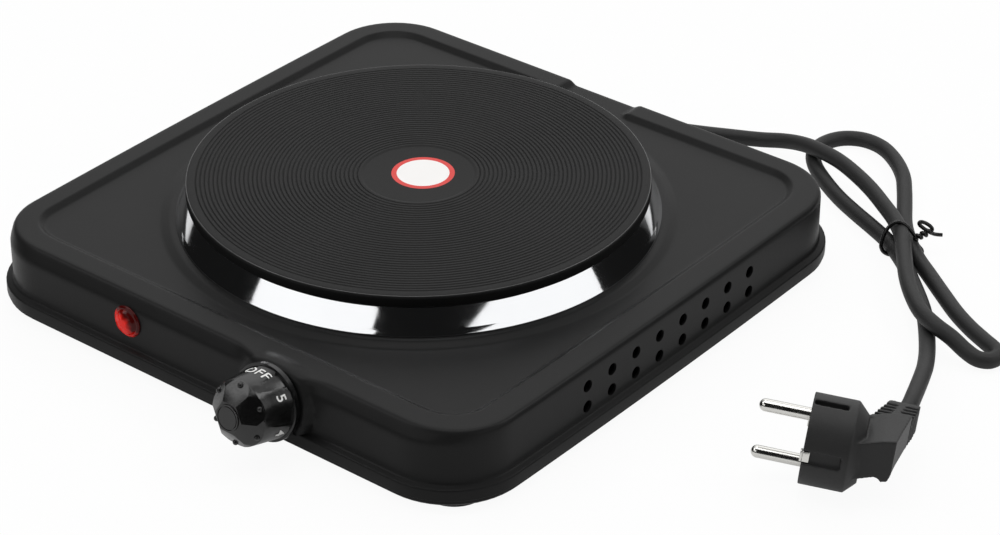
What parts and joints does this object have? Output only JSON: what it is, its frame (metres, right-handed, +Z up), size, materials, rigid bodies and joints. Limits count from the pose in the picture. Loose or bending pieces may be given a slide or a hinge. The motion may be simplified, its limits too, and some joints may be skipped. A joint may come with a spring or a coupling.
{
  "type": "electric hot plate",
  "caption": "Square black countertop hot plate with a round cast iron plate in a chrome ring, a front control knob, a red pilot lamp and a tied mains cord with its plug.",
  "frame": {"origin": "on the worktop, at the middle of the appliance's footprint from the knob's front to the cord bush's end", "axes": "+Z up, -Y out of the front where the knob and the pilot lamp are, +X to the right seen from the front"},
  "size_m": [0.3624, 0.3549, 0.0478],
  "materials": {
    "casing_black": "satin black powder coat",
    "foot_rubber": "matt black rubber",
    "plate_iron": "matt black heat-proof coating with fine turned grooves",
    "ring_chrome": "mirror-bright chrome",
    "zinc_steel": "bright zinc-plated steel",
    "coil_steel": "dull resistance alloy",
    "reflector_aluminium": "plain rolled sheet",
    "brass": "bright brass",
    "ceramic": "matt steatite, off-white",
    "holder_white": "matt off-white polyamide",
    "label_white": "smooth white label",
    "knob_black": "glossy black phenolic",
    "lens_red": "clear red polycarbonate",
    "bulb_glass": "clear glass",
    "cord_black": "semi-matt black flexible PVC",
    "pin_nickel": "nickel-plated",
    "clip_nickel": "nickel-plated strip",
    "wire_brown": "brown insulation",
    "wire_blue": "blue insulation",
    "wire_green": "green and yellow insulation",
    "wire_white": "white fibreglass sleeve"
  },
  "bodies": {
    "appliance": {"housing": "casing_black", "base_cover": "casing_black", "foot_front_left": "foot_rubber", "foot_front_right": "foot_rubber", "foot_back_left": "foot_rubber", "foot_back_right": "foot_rubber", "base_screws": "zinc_steel", "hot_plate": "plate_iron", "heating_coils": "coil_steel", "coil_cement": "ceramic", "plate_cover": "zinc_steel", "spill_ring": "ring_chrome", "centre_label": "label_white", "centre_stud": "zinc_steel", "clamp_bridge": "zinc_steel", "bridge_screws": "zinc_steel", "stud_washer": "zinc_steel", "stud_nut": "zinc_steel", "heat_reflector": "reflector_aluminium", "thermal_fuse": "ceramic", "control_frame": "zinc_steel", "control_bush": "brass", "control_screws": "zinc_steel", "control_ceramics": "ceramic", "control_rivet": "zinc_steel", "bimetal_blade": "coil_steel", "contact_blades": "brass", "control_tabs": "zinc_steel", "lamp_lens": "lens_red", "lamp_holder": "holder_white", "lamp_clip": "zinc_steel", "neon_bulb": "bulb_glass", "lamp_resistor": "holder_white", "cord_bush": "cord_black", "cord_clamp": "holder_white", "clamp_screws": "zinc_steel", "terminal_block": "holder_white", "terminal_screws": "brass", "terminal_bracket": "zinc_steel", "earth_screw": "brass", "earth_tag": "zinc_steel", "live_wire": "wire_brown", "neutral_wire": "wire_blue", "earth_wire": "wire_green", "lamp_wire": "wire_white", "power_cord": "cord_black", "twist_tie": "cord_black", "plug_body": "cord_black", "plug_pins": "pin_nickel", "plug_clips": "clip_nickel"},
    "control": {"knob": "knob_black", "knob_spring": "zinc_steel", "control_shaft": "zinc_steel", "control_cam": "ceramic"}
  },
  "joints": [
    {"name": "knob_turn", "type": "hinge", "parent": "appliance", "child": "control", "pos_m": [0.0353, -0.1125, 0.0189], "axis": [0, 0.9848, -0.1736], "range_deg": [0, 300]}
  ]
}
